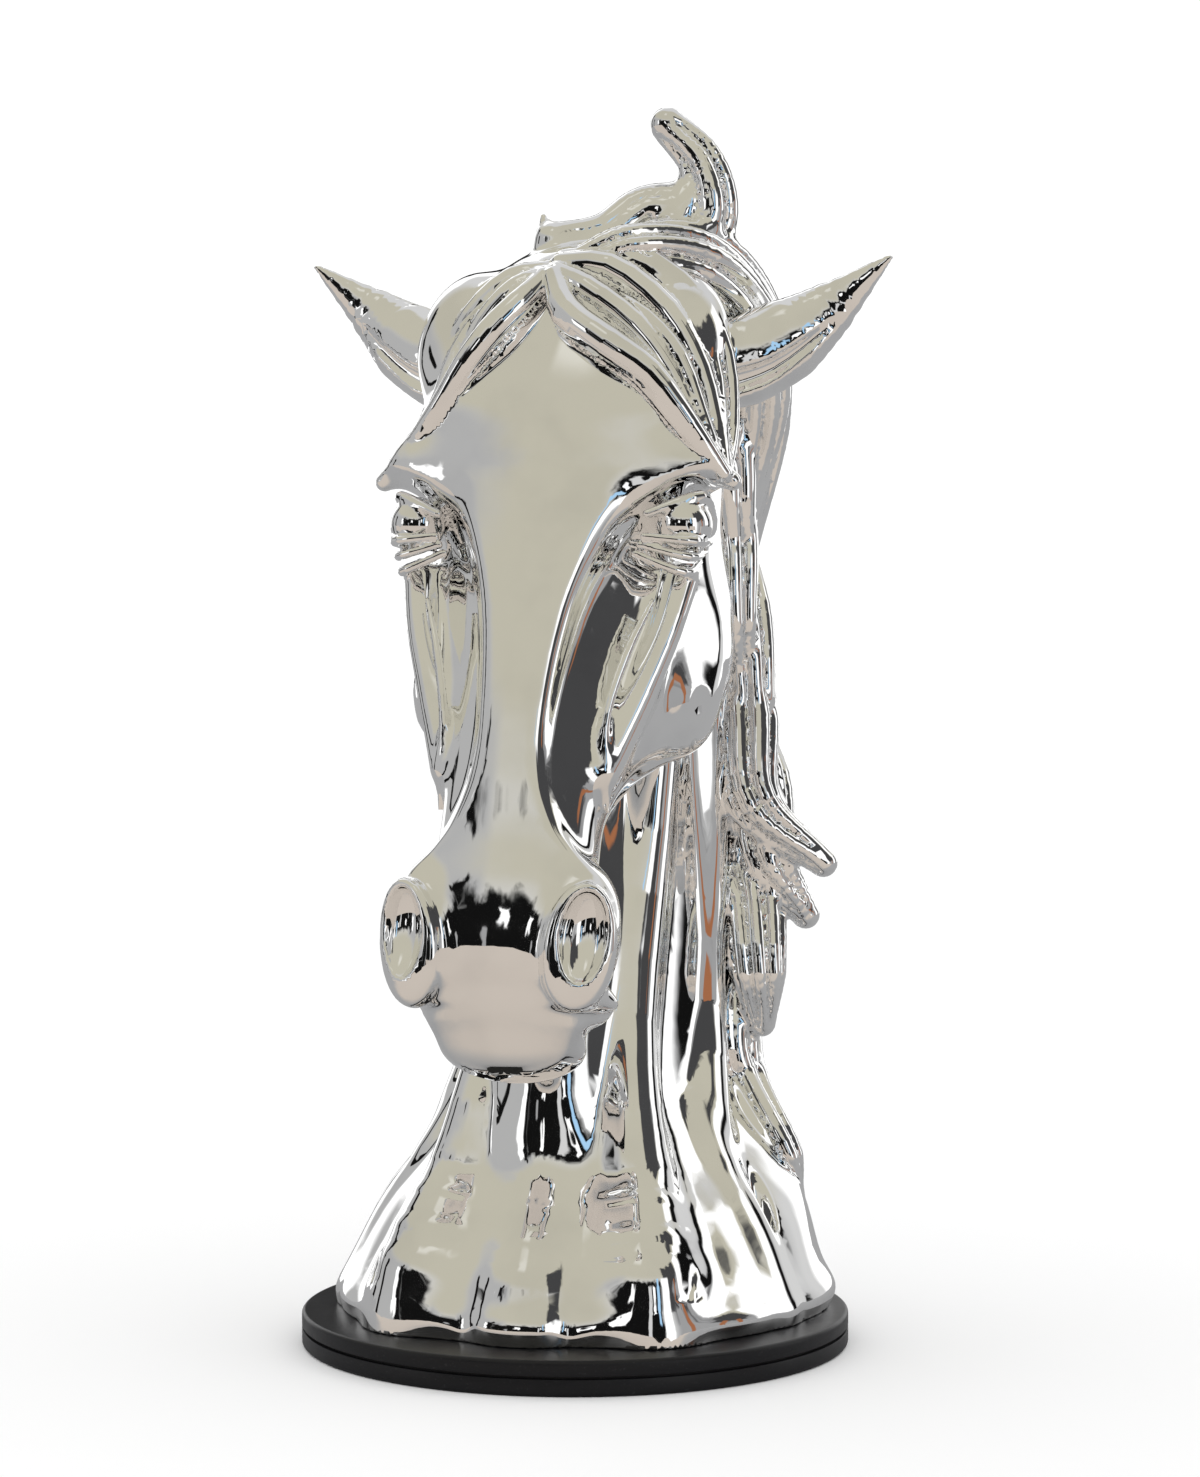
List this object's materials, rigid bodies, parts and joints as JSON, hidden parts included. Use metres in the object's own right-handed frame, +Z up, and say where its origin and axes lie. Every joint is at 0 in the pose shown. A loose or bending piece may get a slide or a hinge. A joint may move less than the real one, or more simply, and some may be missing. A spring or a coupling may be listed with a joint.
{
  "type": "sculpture",
  "caption": "Mirror-chrome horse head bust with swept-out ears, parted forelock and raised lock, on a round black plinth with a turned groove.",
  "frame": {"origin": "centre of the plinth's underside, where it stands", "axes": "+Z up, -Y the way the horse faces, +X the horse's left"},
  "size_m": [0.3339, 0.3291, 0.678],
  "materials": {
    "chrome": "mirror",
    "black_lacquer": "satin"
  },
  "bodies": {
    "root": {"horse_bust": "chrome", "plinth": "black_lacquer"}
  },
  "joints": []
}
